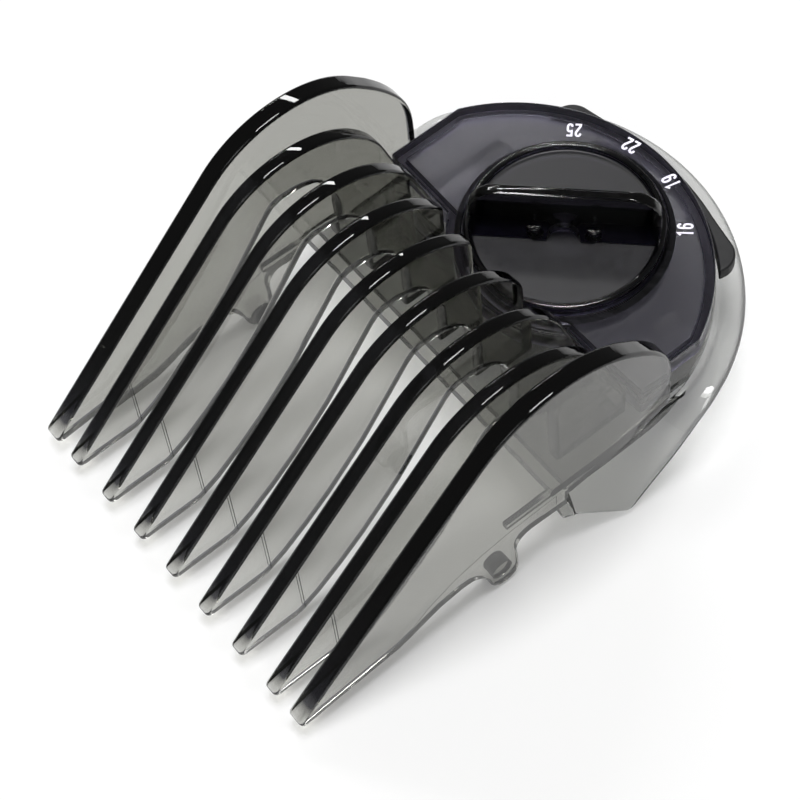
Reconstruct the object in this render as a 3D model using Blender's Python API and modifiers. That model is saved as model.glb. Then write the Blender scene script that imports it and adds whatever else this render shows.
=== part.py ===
"""Dial-adjustable guard comb for a hair clipper, built as separate pieces.

Frame: +Z up and along the dial's axis, -Y towards the tooth tips, +X to the
right seen from behind the dial.  The origin is on the dial's axis, in the face
that sits on the clipper head.  Lengths below are millimetres.
"""
import math

import bmesh
import bpy
from mathutils import Matrix, Vector

MM = 0.001
GAP = 0.3                       # air between pieces that touch

# --- driving dimensions ------------------------------------------------------
WIDTH = 50.0                    # over the two side walls
WALL = 2.4
TOOTH_COUNT = 7                 # between the side walls
TOOTH_PITCH = 6.4
TOOTH = 1.9
DIAL_TOP = 8.0                  # dial face above the clipper seat

TIP_Y = -58.8                   # centre of the rounded tooth tip
TIP_Z = -5.6
TIP_RADIUS = 0.85
CREST_Y, CREST_Z, CREST_RADIUS = -24.9, 9.9, 13.8
KNEE_Y, KNEE_Z = -50.6, -6.1    # where the underside leaves the tip block
ARCH = ((-34.2, 8.65), (-28.3, 16.4), (-27.6, 17.1), (-26.6, 17.45), (-24.6, 17.4), (-23.2, 17.1),
        (-21.8, 16.4), (-20.6, 15.1), (-19.9, 13.4), (-19.7, 11.5))    # rest of the underside, (y, z)
LEG_REAR_Y = -9.4               # rear end of the outer teeth
WALL_CREST_Y, WALL_CREST_Z, WALL_CREST_RADIUS = -21.9, 10.6, 15.2
WALL_REAR_Y = -4.3
HEEL_RADIUS = 2.4               # plan rounding of each side wall's outer face into its rear end
LOBE_Y, LOBE_Z, LOBE_RADIUS = -30.2, -6.1, 2.1
PEG_RADIUS, PEG_LENGTH = 1.4, 1.7

DECK_LOW, DECK_HIGH = 2.2, 3.7
DECK_FRONT_Y = -22.6
REAR_CENTRE_Y = -8.5            # centre of every rear arc
DECK_ARC = 24.0
PLATE_ARC = 23.85
PLATE_HALF_WIDTH = 21.65
PLATE_FRONT_Y = -9.0
FRONT_RAKE = 0.2                # the front edge sweeps back a little towards the sides
PLATE_TOP = 7.0
PLATE_SHEET = 1.3
PLATE_RIM = 1.2
BULGE_RADIUS = 14.0             # plate's round front, concentric with the dial

DIAL_RADIUS = 12.1
DIAL_RECESS = 12.45
DIAL_DEPTH = 2.1
GRIP_ANGLE = 45.0               # grip bar at the shortest setting
GRIP_HEIGHT = 6.3
HUB_HOLE = 5.0
HOOK_OFFSET, HOOK_RADIUS, HOOK_HEAD = 3.4, 1.0, 1.55

CAM_RADIUS = 12.6
CAM_LOW, CAM_HIGH = 1.7, 4.1
CAM_HOLE = 12.95
TRAVEL = 9.0                    # saddle travel over the dial's quarter turn
DIAL_TURN = 90.0
CLICKS = 4
PEG_X, PEG_Y = -7.0, -1.0       # cam follower at the shortest setting
FOLLOWER_RADIUS = 0.8
GROOVE_HALF_WIDTH = 1.1
GROOVE_DEPTH = 1.5

SHEET_TOP = 1.4
SHEET_OFFSET = 23.6
BRIM_INNER, BRIM_CREST, BRIM_OUTER = 22.8, 24.4, 27.6
BRIM_THICKNESS = 1.15
BRIM_FRONT_Y = -22.6            # where the edge would meet the wall's underside
BRIM_CORNER_Y = -13.5
BRIM_TAPER = 2.2                # how much narrower the brim is at its front
STEP_Y = -20.45                 # ahead of this the brim tucks under the side wall

PAD_INNER = 24.45
PAD_LOW, PAD_HIGH = 2.2, 4.2

RAIL_FRONT_Y = -29.2            # ledge inside each wall, ahead of the deck
HOOK_X, HOOK_FRONT_Y, HOOK_BACK_Y = 16.0, 0.0, 4.0
STEM_HALF, FOOT_HALF = 0.6, 1.5
FOOT_LOW, FOOT_HIGH, LEDGE = 0.05, 0.45, 0.75


# --- scene helpers -----------------------------------------------------------
def clear_scene():
    for item in list(bpy.data.objects):
        bpy.data.objects.remove(item, do_unlink=True)


def make_collection(name):
    group = bpy.data.collections.new(name)
    bpy.context.scene.collection.children.link(group)
    return group


def make_material(name, colour, roughness, metallic=0.0, alpha=1.0):
    material = bpy.data.materials.new(name)
    material.use_nodes = True
    shader = material.node_tree.nodes["Principled BSDF"]
    shader.inputs["Base Color"].default_value = (*colour, 1.0)
    shader.inputs["Roughness"].default_value = roughness
    shader.inputs["Metallic"].default_value = metallic
    shader.inputs["Alpha"].default_value = alpha
    return material


def arc(cx, cy, radius, start, end, steps):
    """Points on an arc, angles in degrees, both ends included."""
    points = []
    for i in range(steps + 1):
        angle = math.radians(start + (end - start) * i / steps)
        points.append((cx + radius * math.cos(angle), cy + radius * math.sin(angle)))
    return points


def solid_from_outline(name, outline, low, high, axis="Z"):
    """Extrude a closed outline between two heights along Z, or along X for a (y, z) outline."""
    curve = bpy.data.curves.new(name + "_outline", "CURVE")
    curve.dimensions = "2D"
    curve.fill_mode = "BOTH"
    curve.extrude = (high - low) * MM / 2
    spline = curve.splines.new("POLY")
    spline.points.add(len(outline) - 1)
    for point, (u, v) in zip(spline.points, outline):
        point.co = (u * MM, v * MM, 0, 1)
    spline.use_cyclic_u = True
    holder = bpy.data.objects.new(name + "_outline", curve)
    bpy.context.scene.collection.objects.link(holder)
    bpy.context.view_layer.update()
    evaluated = holder.evaluated_get(bpy.context.evaluated_depsgraph_get())
    mesh = bpy.data.meshes.new_from_object(evaluated)
    bpy.data.objects.remove(holder, do_unlink=True)
    middle = (low + high) * MM / 2
    if axis == "X":
        turn = Matrix(((0, 0, 1, middle), (1, 0, 0, 0), (0, 1, 0, 0), (0, 0, 0, 1)))
    else:
        turn = Matrix.Translation((0, 0, middle))
    mesh.transform(turn)
    weld(mesh)
    return bpy.data.objects.new(name, mesh)


def weld(mesh):
    work = bmesh.new()
    work.from_mesh(mesh)
    bmesh.ops.remove_doubles(work, verts=work.verts, dist=0.002 * MM)
    bmesh.ops.recalc_face_normals(work, faces=work.faces)
    work.to_mesh(mesh)
    work.free()


def solid_from_cones(name, rings, x=0.0, y=0.0, sides=64, axis="Z"):
    """Turned solid: a stack of (radius, height) rings with flat ends."""
    work = bmesh.new()
    loops = []
    for radius, height in rings:
        loop = []
        for i in range(sides):
            angle = 2 * math.pi * i / sides
            u, v = radius * math.cos(angle), radius * math.sin(angle)
            place = (x + u, y + v, height) if axis == "Z" else (height, x + u, y + v)
            loop.append(work.verts.new(Vector(place) * MM))
        loops.append(loop)
    for lower, upper in zip(loops, loops[1:]):
        for i in range(sides):
            j = (i + 1) % sides
            work.faces.new((lower[i], lower[j], upper[j], upper[i]))
    work.faces.new(loops[0][::-1])
    work.faces.new(loops[-1])
    bmesh.ops.recalc_face_normals(work, faces=work.faces)
    mesh = bpy.data.meshes.new(name)
    work.to_mesh(mesh)
    work.free()
    return bpy.data.objects.new(name, mesh)


def box(name, x0, x1, y0, y1, z0, z1):
    return solid_from_outline(name, [(x0, y0), (x1, y0), (x1, y1), (x0, y1)], z0, z1)


def joined(name, items):
    """One operand made of several separate closed solids."""
    work = bmesh.new()
    for item in items:
        work.from_mesh(item.data)
        bpy.data.objects.remove(item, do_unlink=True)
    mesh = bpy.data.meshes.new(name)
    work.to_mesh(mesh)
    work.free()
    return bpy.data.objects.new(name, mesh)


def boolean(target, operand, operation):
    operand.data.shade_smooth()
    operand.data.set_sharp_from_angle(angle=math.radians(30.0))
    cutters.objects.link(operand)
    operand.hide_render = True
    operand.display_type = "WIRE"
    modifier = target.modifiers.new(operand.name, "BOOLEAN")
    modifier.operation = operation
    modifier.solver = "EXACT"
    modifier.object = operand
    return target


def finish_part(item, material, origin=(0.0, 0.0, 0.0), sharp=30.0):
    """Link a part, give it its material, and put its origin at a point in mm."""
    offset = Vector(origin) * MM
    item.data.transform(Matrix.Translation(-offset))
    item.location = offset
    item.data.materials.clear()
    item.data.materials.append(material)
    item.data.shade_smooth()
    item.data.set_sharp_from_angle(angle=math.radians(sharp))
    parts.objects.link(item)
    return item


# --- comb body: teeth, side walls and deck in one moulding -------------------
def tangent_angle(y, z, cy, cz, radius):
    """Direction in degrees of the line from a point to the top of a circle."""
    reach = math.hypot(cy - y, cz - z)
    return math.degrees(math.atan2(cz - z, cy - y) + math.asin(radius / reach))


def ridge_and_tip(cy, cz, radius, rear_angle, steps):
    """Top line from the rear end of the crest arc forward and round the tip."""
    slope = tangent_angle(TIP_Y, TIP_Z, cy, cz, radius - TIP_RADIUS)
    crest = arc(cy, cz, radius, rear_angle, 90.0 + slope, steps)
    tip = arc(TIP_Y, TIP_Z, TIP_RADIUS, 90.0 + slope, 270.0, 6)
    return crest + tip


def tooth_outline():
    """Side view of one inner tooth, as (y, z) points."""
    low_angle = 20.0
    outline = ridge_and_tip(CREST_Y, CREST_Z, CREST_RADIUS, low_angle, 18)
    outline.append((KNEE_Y - 0.6, TIP_Z - TIP_RADIUS + 0.15))
    outline.append((KNEE_Y, KNEE_Z))
    outline += ARCH
    foot = (DECK_LOW + DECK_HIGH) / 2
    outline.append((ARCH[-1][0], foot))
    outline.append((LEG_REAR_Y, foot))
    outline.append((LEG_REAR_Y, PLATE_TOP))
    return outline


def wall_outline():
    """Side view of one side wall, with the peg lobe on its lower edge."""
    floor = DECK_HIGH - 0.05
    outline = [(WALL_REAR_Y, floor), (WALL_REAR_Y, 8.0), (-4.47, 11.4), (-4.72, 12.7), (-5.1, 13.9),
               (-5.65, 15.05), (-6.35, 16.2), (-7.2, 17.4), (-8.2, 18.6), (-9.3, 19.75)]
    outline += ridge_and_tip(WALL_CREST_Y, WALL_CREST_Z, WALL_CREST_RADIUS, 47.0, 18)
    outline += [(-45.7, -5.0), (-41.5, -3.4), (-37.6, -2.3), (-34.9, -2.3), (-33.2, -3.9)]
    outline += arc(LOBE_Y, LOBE_Z, LOBE_RADIUS, 190.0, 360.0, 10)
    outline += [(-28.3, -1.4), (-27.4, -0.3), (-26.2, -0.1), (-20.7, -0.5)]
    outline += [(-20.7, 1.6), (-5.4, floor)]
    return outline


def wall_heel(side):
    """Corner that is cut from a side wall's rear end so that its outer face rounds inwards."""
    face = side * WIDTH / 2
    curve = arc(0.0, WALL_REAR_Y - HEEL_RADIUS, HEEL_RADIUS, 0.0, 90.0, 6)
    outline = [(face - side * (HEEL_RADIUS - u), v) for u, v in curve]
    beyond, behind = face + side, WALL_REAR_Y + 1.0
    outline += [(outline[-1][0], behind), (beyond, behind), (beyond, outline[0][1])]
    return solid_from_outline("heel", outline, 0.0, 30.0)


def rear_outline(half_width, radius, front_y, steps):
    """Plan outline with straight sides and an arc at the rear."""
    corner = math.degrees(math.acos(half_width / radius))
    outline = [(-half_width, front_y), (half_width, front_y)]
    return outline + arc(0.0, REAR_CENTRE_Y, radius, corner, 180.0 - corner, steps)


def hook_outline(x, stem, foot, foot_high, top):
    """Section across a T-shaped hook or its slot, as (x, z) points."""
    return [(x - foot, FOOT_LOW), (x + foot, FOOT_LOW), (x + foot, foot_high),
            (x + stem, foot_high), (x + stem, top), (x - stem, top),
            (x - stem, foot_high), (x - foot, foot_high)]


def hook_solid(x, slack, travel):
    """Hook under the deck that keeps the saddle on, or with slack and travel the slot it slides in."""
    low = FOOT_LOW - slack * 3.0
    foot_high = LEDGE if slack else FOOT_HIGH
    section = hook_outline(x, STEM_HALF + slack, FOOT_HALF + slack, foot_high, DECK_LOW + 0.4)
    section[0] = (section[0][0], low)
    section[1] = (section[1][0], low)
    front, back = HOOK_FRONT_Y - travel - slack, HOOK_BACK_Y + slack
    solid = solid_from_outline("hook", section, -back, -front)
    solid.data.transform(Matrix(((1, 0, 0, 0), (0, 0, -1, 0), (0, 1, 0, 0), (0, 0, 0, 1))))
    return solid


def make_comb_body(material):
    inner_face = WIDTH / 2 - WALL
    deck = solid_from_outline("comb_body", rear_outline(inner_face + 0.2, DECK_ARC, DECK_FRONT_Y, 36),
                              DECK_LOW, DECK_HIGH)
    side = -(TOOTH_COUNT - 1) / 2 * TOOTH_PITCH
    teeth = []
    for i in range(TOOTH_COUNT):
        x = side + i * TOOTH_PITCH
        teeth.append(solid_from_outline("tooth", tooth_outline(), x - TOOTH / 2, x + TOOTH / 2, "X"))
    boolean(deck, joined("teeth", teeth), "UNION")
    walls = []
    for low in (-WIDTH / 2, inner_face):
        walls.append(solid_from_outline("wall", wall_outline(), low, low + WALL, "X"))
    walls = joined("side_walls", walls)
    boolean(walls, joined("heels", [wall_heel(-1), wall_heel(1)]), "DIFFERENCE")
    boolean(deck, walls, "UNION")
    fittings = []
    for sign in (-1, 1):
        face = sign * inner_face
        low, high = sorted((face + sign * 0.4, face - sign * PEG_LENGTH))
        fittings.append(solid_from_cones("peg", [(PEG_RADIUS, low), (PEG_RADIUS, high)],
                                         LOBE_Y, LOBE_Z, 20, "X"))
        low, high = sorted((face + sign * 0.2, face - sign * 0.7))
        rail = [(RAIL_FRONT_Y, 2.4), (DECK_FRONT_Y + 0.5, 2.4), (DECK_FRONT_Y + 0.5, 3.4),
                (RAIL_FRONT_Y, 3.4)]
        fittings.append(solid_from_outline("rail", rail, low, high, "X"))
        fittings.append(hook_solid(sign * HOOK_X, 0.0, 0.0))
    boolean(deck, joined("pegs_rails_and_hooks", fittings), "UNION")
    boolean(deck, solid_from_cones("cam_opening", [(CAM_HOLE, 0.0), (CAM_HOLE, 5.0)], sides=72),
            "DIFFERENCE")
    clearance = BULGE_RADIUS + 0.4
    boolean(deck, solid_from_cones("dial_clearance", [(clearance, DECK_HIGH), (clearance, 30.0)],
                                   sides=72), "DIFFERENCE")
    boolean(deck, spring_pocket(), "DIFFERENCE")
    return finish_part(deck, material)


# --- dial plate: the numbered cover that carries the dial --------------------
def plate_outline(inset):
    """Straight-sided rear cover whose front bulges round the dial."""
    half = PLATE_HALF_WIDTH - inset
    front = PLATE_FRONT_Y + inset
    bulge = BULGE_RADIUS - inset
    rear = PLATE_ARC - inset
    meet = math.degrees(math.asin(front / bulge))
    corner = math.degrees(math.acos(half / rear))
    outline = arc(0.0, 0.0, bulge, -180.0 - meet, meet, 28)
    outline.append((half, front + FRONT_RAKE))
    outline += arc(0.0, REAR_CENTRE_Y, rear, corner, 180.0 - corner, 40)
    outline.append((-half, front + FRONT_RAKE))
    return outline


def make_dial_plate(material):
    low = DECK_HIGH + GAP
    plate = solid_from_outline("dial_plate", plate_outline(0.0), low, PLATE_TOP)
    hollow = solid_from_outline("plate_hollow", plate_outline(PLATE_RIM), low - 1.0,
                                PLATE_TOP - PLATE_SHEET)
    floor_ring = solid_from_cones("recess_shell", [(13.6, low - 2.0), (13.6, PLATE_TOP + 1.0)], sides=72)
    boolean(hollow, floor_ring, "DIFFERENCE")
    boolean(plate, hollow, "DIFFERENCE")
    recess_floor = DIAL_TOP - DIAL_DEPTH - GAP
    boolean(plate, solid_from_cones("dial_recess", [(DIAL_RECESS, recess_floor), (DIAL_RECESS, 9.0)],
                                    sides=72), "DIFFERENCE")
    boolean(plate, solid_from_cones("cam_recess", [(CAM_HOLE, 3.0), (CAM_HOLE, CAM_HIGH + GAP)],
                                    sides=72), "DIFFERENCE")
    boolean(plate, solid_from_cones("hub_hole", [(HUB_HOLE, 3.0), (HUB_HOLE, 9.0)], sides=40),
            "DIFFERENCE")
    return finish_part(plate, material)


# --- dial knob: disc, grip bar and snap hooks --------------------------------
def make_dial_knob(material):
    top, low = DIAL_TOP, DIAL_TOP - DIAL_DEPTH
    knob = solid_from_cones("dial_knob", [(DIAL_RADIUS, low), (DIAL_RADIUS, top - 0.3),
                                          (DIAL_RADIUS - 0.3, top)], sides=72)
    boolean(knob, solid_from_cones("knob_hollow", [(11.0, low - 1.0), (11.0, top - 1.2)], sides=60),
            "DIFFERENCE")
    base = 2.4
    crown = 1.0
    reach = 11.4
    grip_top = top + GRIP_HEIGHT
    side_view = [(-reach, top - 0.6), (reach, top - 0.6), (reach, top + 2.5)]
    side_view += arc(reach - 3.6, grip_top - 2.6, 2.6, 0.0, 90.0, 5)
    side_view += arc(3.6 - reach, grip_top - 2.6, 2.6, 90.0, 180.0, 5)
    side_view += [(-reach, top + 2.5)]
    grip = solid_from_outline("grip", side_view, -base, base, "X")
    for vertex in grip.data.vertices:
        height = (vertex.co.z / MM - top) / GRIP_HEIGHT
        ease = 1.0 - min(max(height, 0.0), 1.0) ** 0.6
        vertex.co.x *= (crown + (base - crown) * ease) / base
    grip.data.transform(Matrix.Rotation(math.radians(GRIP_ANGLE - 90.0), 4, "Z"))
    boolean(knob, grip, "UNION")
    hooks = []
    for sign in (-1, 1):
        angle = math.radians(GRIP_ANGLE)
        x = sign * HOOK_OFFSET * math.cos(angle)
        y = sign * HOOK_OFFSET * math.sin(angle)
        rings = [(0.9, CAM_LOW + 0.3), (HOOK_HEAD, CAM_LOW + 0.8), (HOOK_HEAD, CAM_LOW + 0.9),
                 (HOOK_RADIUS, CAM_LOW + 0.91), (HOOK_RADIUS, top - 0.9)]
        hooks.append(solid_from_cones("hook", rings, x, y, 20))
    boolean(knob, joined("snap_hooks", hooks), "UNION")
    return finish_part(knob, material, (0.0, 0.0, top))


# --- cam disc under the plate, with its groove and click notches -------------
def groove_point(fraction):
    """Follower position seen from the turning disc."""
    turn = -math.radians(DIAL_TURN) * fraction
    y = PEG_Y + TRAVEL * fraction
    x = PEG_X
    return (x * math.cos(turn) - y * math.sin(turn), x * math.sin(turn) + y * math.cos(turn))


def groove_outline(steps=24):
    """Outline of the groove: both sides of the follower's path, with round ends."""
    left, right = [], []
    for i in range(steps + 1):
        t = i / steps
        x, y = groove_point(t)
        ahead, behind = groove_point(t + 0.01), groove_point(t - 0.01)
        dx, dy = ahead[0] - behind[0], ahead[1] - behind[1]
        size = math.hypot(dx, dy)
        nx, ny = -dy / size * GROOVE_HALF_WIDTH, dx / size * GROOVE_HALF_WIDTH
        left.append((x + nx, y + ny))
        right.append((x - nx, y - ny))
    ends = []
    for t, side in ((0.0, left), (1.0, right)):
        x, y = groove_point(t)
        start = math.degrees(math.atan2(side[0 if t == 0.0 else -1][1] - y,
                                        side[0 if t == 0.0 else -1][0] - x))
        ends.append(arc(x, y, GROOVE_HALF_WIDTH, start, start + 180.0, 6)[1:-1])
    return right + ends[1] + left[::-1] + ends[0]


def make_cam_disc(material):
    cam = solid_from_cones("cam_disc", [(CAM_RADIUS, CAM_LOW), (CAM_RADIUS, CAM_HIGH)], sides=72)
    boolean(cam, solid_from_outline("groove", groove_outline(), CAM_LOW - 0.5,
                                    CAM_LOW + GROOVE_DEPTH), "DIFFERENCE")
    holes = []
    for sign in (-1, 1):
        angle = math.radians(GRIP_ANGLE)
        x = sign * HOOK_OFFSET * math.cos(angle)
        y = sign * HOOK_OFFSET * math.sin(angle)
        rings = [(1.95, CAM_LOW - 0.5), (1.95, CAM_LOW + 1.2), (HOOK_RADIUS + 0.3, CAM_LOW + 1.21),
                 (HOOK_RADIUS + 0.3, CAM_HIGH + 0.5)]
        holes.append(solid_from_cones("hook_hole", rings, x, y, 20))
    boolean(cam, joined("hook_holes", holes), "DIFFERENCE")
    notches = []
    for i in range(CLICKS):
        angle = math.radians(90.0 - i * DIAL_TURN / (CLICKS - 1))
        x, y = CAM_RADIUS * math.cos(angle), CAM_RADIUS * math.sin(angle)
        notches.append(solid_from_cones("notch", [(0.9, 1.0), (0.9, 5.0)], x, y, 16))
    boolean(cam, joined("click_notches", notches), "DIFFERENCE")
    return finish_part(cam, material, (0.0, 0.0, CAM_LOW))


# --- click spring beside the cam ---------------------------------------------
SPRING_LOW, SPRING_HIGH = 2.6, 3.5
SPRING_SHEET = 0.4


def spring_line():
    """Centre line of the leaf in plan: two bowed arms and a rounded nose towards the cam."""
    arm = [(8.2, 12.4), (5.5, 13.85), (2.6, 14.45), (1.4, 14.35)]
    nose = arc(0.0, 14.0, 0.95, 200.0, 340.0, 6)
    return [(-x, y) for x, y in arm] + nose + arm[::-1]


def spring_pocket():
    """Recess in the deck that holds the leaf by its two ends and opens on the cam."""
    half = [(8.8, 12.6), (8.8, 11.9), (7.2, 12.3), (6.2, 10.5)]
    far = [(2.7, 14.85), (5.7, 14.25)]
    outline = far + half + [(-x, y) for x, y in (far + half)[::-1]]
    return solid_from_outline("spring_pocket", outline, SPRING_LOW - 0.2, DECK_HIGH + 1.0)


def make_detent_spring(material):
    line = spring_line()
    near, far = [], []
    for i, (x, y) in enumerate(line):
        ahead = line[min(i + 1, len(line) - 1)]
        behind = line[max(i - 1, 0)]
        dx, dy = ahead[0] - behind[0], ahead[1] - behind[1]
        size = math.hypot(dx, dy)
        nx, ny = -dy / size * SPRING_SHEET / 2, dx / size * SPRING_SHEET / 2
        near.append((x - nx, y - ny))
        far.append((x + nx, y + ny))
    spring = solid_from_outline("detent_spring", near + far[::-1], SPRING_LOW, SPRING_HIGH)
    return finish_part(spring, material)


# --- saddle: the slide that clips on the clipper head ------------------------
def brim_edge_height(y):
    """Height of the brim's outer edge: level behind, falling to the front corner."""
    if y > BRIM_CORNER_Y:
        return DIAL_TOP - 6.3 - 0.1726 * max(2.0 - y, 0.0) ** 1.47
    fall = (BRIM_CORNER_Y - y) / (BRIM_CORNER_Y - BRIM_FRONT_Y)
    return DIAL_TOP - 16.0 + 6.9 * fall


def brim_crest_height(y):
    """Height of the brim's upper edge, just under the side wall and the deck."""
    if y < STEP_Y:
        return -1.3
    if y < -5.0:
        return 1.2 + (y - STEP_Y) * 2.1 / 15.5
    return max(1.9, 3.3 - (y + 5.0) * 0.38)


def brim_section(y, nx, ny):
    """Four points across the brim at one station, from inside to outside."""
    crest = brim_crest_height(y)
    edge = brim_edge_height(y)
    outer = BRIM_OUTER
    inner = (BRIM_INNER, SHEET_TOP - 0.17)
    if y < BRIM_CORNER_Y:
        outer -= BRIM_TAPER * (BRIM_CORNER_Y - y) / (BRIM_CORNER_Y - BRIM_FRONT_Y)
    if y < STEP_Y:
        inner = (BRIM_CREST - 0.2, -1.5)
    belly = (BRIM_CREST + (outer - BRIM_CREST) * 0.62, (crest + edge) / 2)
    across = [inner, (BRIM_CREST, crest), belly, (outer, edge)]
    centre_y = REAR_CENTRE_Y if ny > 0 else y
    return [(nx * r, centre_y + ny * r, z) for r, z in across]


def brim_stations():
    """Direction and y of each station, from the right front round the rear."""
    straight = [-21.8, -21.2, -20.6, -20.3, -18.5, -16.5, -15.0, -13.5, -12.0, -10.0]
    stations = [(1.0, 0.0, y) for y in straight]
    for i in range(37):
        angle = math.radians(5.0 * i)
        ny = math.sin(angle)
        stations.append((math.cos(angle), ny, REAR_CENTRE_Y + BRIM_OUTER * ny))
    stations += [(-1.0, 0.0, y) for y in straight[::-1]]
    return stations


def make_brim():
    work = bmesh.new()
    rows = []
    for nx, ny, y in brim_stations():
        section = brim_section(y, nx, ny)
        rows.append([work.verts.new(Vector(point) * MM) for point in section])
    for first, second in zip(rows, rows[1:]):
        for i in range(3):
            work.faces.new((first[i], first[i + 1], second[i + 1], second[i]))
    mesh = bpy.data.meshes.new("brim")
    work.to_mesh(mesh)
    work.free()
    brim = bpy.data.objects.new("brim", mesh)
    shell = brim.modifiers.new("thickness", "SOLIDIFY")
    shell.thickness = BRIM_THICKNESS * MM
    shell.offset = -1.0
    return brim


def make_saddle(material):
    outline = rear_outline(SHEET_OFFSET, SHEET_OFFSET + 0.01, -20.3, 48)
    saddle = solid_from_outline("saddle", outline, 0.0, SHEET_TOP)
    boolean(saddle, make_brim(), "UNION")
    slots = [hook_solid(side * HOOK_X, GAP, TRAVEL) for side in (-1, 1)]
    boolean(saddle, joined("hook_slots", slots), "DIFFERENCE")
    boolean(saddle, solid_from_cones("pin_hole", [(1.8, -1.0), (1.8, 0.9), (1.1, 0.91), (1.1, 3.0)],
                                     PEG_X, PEG_Y, 24), "DIFFERENCE")
    return finish_part(saddle, material)


def make_follower_pin(material):
    rings = [(1.5, 0.1), (1.5, 0.6), (FOLLOWER_RADIUS, 0.61),
             (FOLLOWER_RADIUS, CAM_LOW + GROOVE_DEPTH - 0.5),
             (FOLLOWER_RADIUS - 0.2, CAM_LOW + GROOVE_DEPTH - 0.3)]
    pin = solid_from_cones("follower_pin", rings, PEG_X, PEG_Y, 24)
    return finish_part(pin, material, (PEG_X, PEG_Y, 0.0))


def make_thumb_pad(material):
    """Low bar across the rear: its inner side follows the deck, its outer side is nearly straight."""
    end = arc(12.6, 11.9, 2.7, 80.0, 0.0, 6)
    side = [(0.0, 16.6), (3.5, 16.4), (6.5, 15.95), (9.6, 15.25)] + end
    reach = math.degrees(math.asin(15.1 / PAD_INNER))
    inner = arc(0.0, REAR_CENTRE_Y, PAD_INNER, 90.0 - reach, 90.0 + reach, 20)
    outline = side + inner + [(-x, y) for x, y in side[:0:-1]]
    pad = solid_from_outline("thumb_pad", outline, PAD_LOW, PAD_HIGH)
    return finish_part(pad, material)


clear_scene()
parts = make_collection("clipper_guard_comb")
cutters = make_collection("cutters")

smoke = make_material("smoke_clear", (0.16, 0.16, 0.16), 0.12, alpha=0.55)
dark_smoke = make_material("dark_smoke", (0.05, 0.05, 0.07), 0.2, alpha=0.8)
knob_smoke = make_material("knob_smoke", (0.02, 0.02, 0.03), 0.2)
cam_black = make_material("cam_black", (0.03, 0.03, 0.03), 0.4)
pale_smoke = make_material("pale_smoke", (0.3, 0.3, 0.3), 0.15, alpha=0.5)
spring_steel = make_material("spring_steel", (0.6, 0.6, 0.6), 0.3, metallic=1.0)
soft_grip = make_material("soft_grip", (0.03, 0.03, 0.03), 0.6)

make_comb_body(smoke)
make_dial_plate(dark_smoke)
make_dial_knob(knob_smoke)
make_cam_disc(cam_black)
make_detent_spring(spring_steel)
make_saddle(pale_smoke)
make_follower_pin(spring_steel)
make_thumb_pad(soft_grip)
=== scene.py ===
"""Looks of the clipper guard comb: moulded smoke-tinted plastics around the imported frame.

Lengths are millimetres until a mesh is made, and the axes are the frame's: +Z up
along the dial's axis, -Y towards the tooth tips, origin in the saddle's underside.
"""
import math

import bmesh
import bpy
from mathutils import Matrix, Vector


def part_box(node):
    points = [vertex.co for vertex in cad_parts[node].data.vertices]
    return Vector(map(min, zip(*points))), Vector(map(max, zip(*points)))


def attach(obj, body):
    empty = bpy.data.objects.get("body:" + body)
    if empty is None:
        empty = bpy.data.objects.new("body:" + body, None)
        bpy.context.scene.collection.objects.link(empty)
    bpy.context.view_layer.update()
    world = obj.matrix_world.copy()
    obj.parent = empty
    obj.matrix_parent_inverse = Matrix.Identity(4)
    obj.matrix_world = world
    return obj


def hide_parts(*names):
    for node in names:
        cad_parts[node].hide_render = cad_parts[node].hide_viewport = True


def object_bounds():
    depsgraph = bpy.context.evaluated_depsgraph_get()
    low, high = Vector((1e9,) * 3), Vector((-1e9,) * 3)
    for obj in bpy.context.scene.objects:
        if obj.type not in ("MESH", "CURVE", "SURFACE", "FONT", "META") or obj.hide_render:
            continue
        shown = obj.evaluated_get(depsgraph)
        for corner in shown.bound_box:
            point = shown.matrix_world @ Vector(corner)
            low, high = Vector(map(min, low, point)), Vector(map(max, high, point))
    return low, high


MM = 0.001

# --- sizes that the frame doesn't state directly -----------------------------
WALL = 2.4
TOOTH = 1.9
TOOTH_COUNT = 7
TOOTH_PITCH = 6.4
TIP_Y, TIP_Z, TIP_RADIUS = -58.8, -5.6, 0.85
CREST_Y, CREST_Z, CREST_RADIUS = -24.9, 9.9, 13.8
KNEE_Y, KNEE_Z = -50.6, -6.1    # where a tooth's underside leaves its tip
ARCH = ((-48.0, -4.6), (-44.5, -1.9), (-41.0, 1.2), (-38.0, 4.3), (-35.5, 7.0), (-34.2, 8.65),
        (-28.3, 16.4), (-27.6, 17.1), (-26.6, 17.45), (-24.6, 17.4), (-23.2, 17.1), (-21.8, 16.4),
        (-20.6, 15.1), (-19.9, 13.4), (-19.7, 11.5))      # rest of a tooth's underside
LEG_REAR_Y = -9.4
WALL_CREST_Y, WALL_CREST_Z, WALL_CREST_RADIUS = -21.9, 10.6, 15.2
WALL_REAR_Y = -4.85
BEND, BEND_FRONT_Y = 0.8, -16.0   # how far the rear of each side wall leans in, and from where
LOBE_Y, LOBE_Z, LOBE_RADIUS = -30.2, -6.1, 2.1
PEG_RADIUS, PEG_LENGTH = 1.4, 1.7
STEP_LINE_Y = -50.4             # a fine line across every tooth

DECK_LOW, DECK_HIGH, DECK_FRONT_Y, DECK_ARC = 2.2, 3.7, -22.6, 24.0
REAR_CENTRE_Y = -8.5
CAM_HOLE = 12.95
RAIL_FRONT_Y = -29.2
HOOK_X, HOOK_BACK_Y = 16.0, 4.0

PLATE_ARC, PLATE_HALF_WIDTH, PLATE_FRONT_Y, FRONT_RAKE = 23.85, 21.65, -9.0, 0.2
PLATE_LOW, PLATE_TOP, PLATE_SHEET, PLATE_RIM = 4.0, 7.0, 1.3, 1.2
BULGE_RADIUS = 14.0
DIAL_RECESS, RECESS_FLOOR, HUB_HOLE = 12.15, 5.6, 5.0

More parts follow.
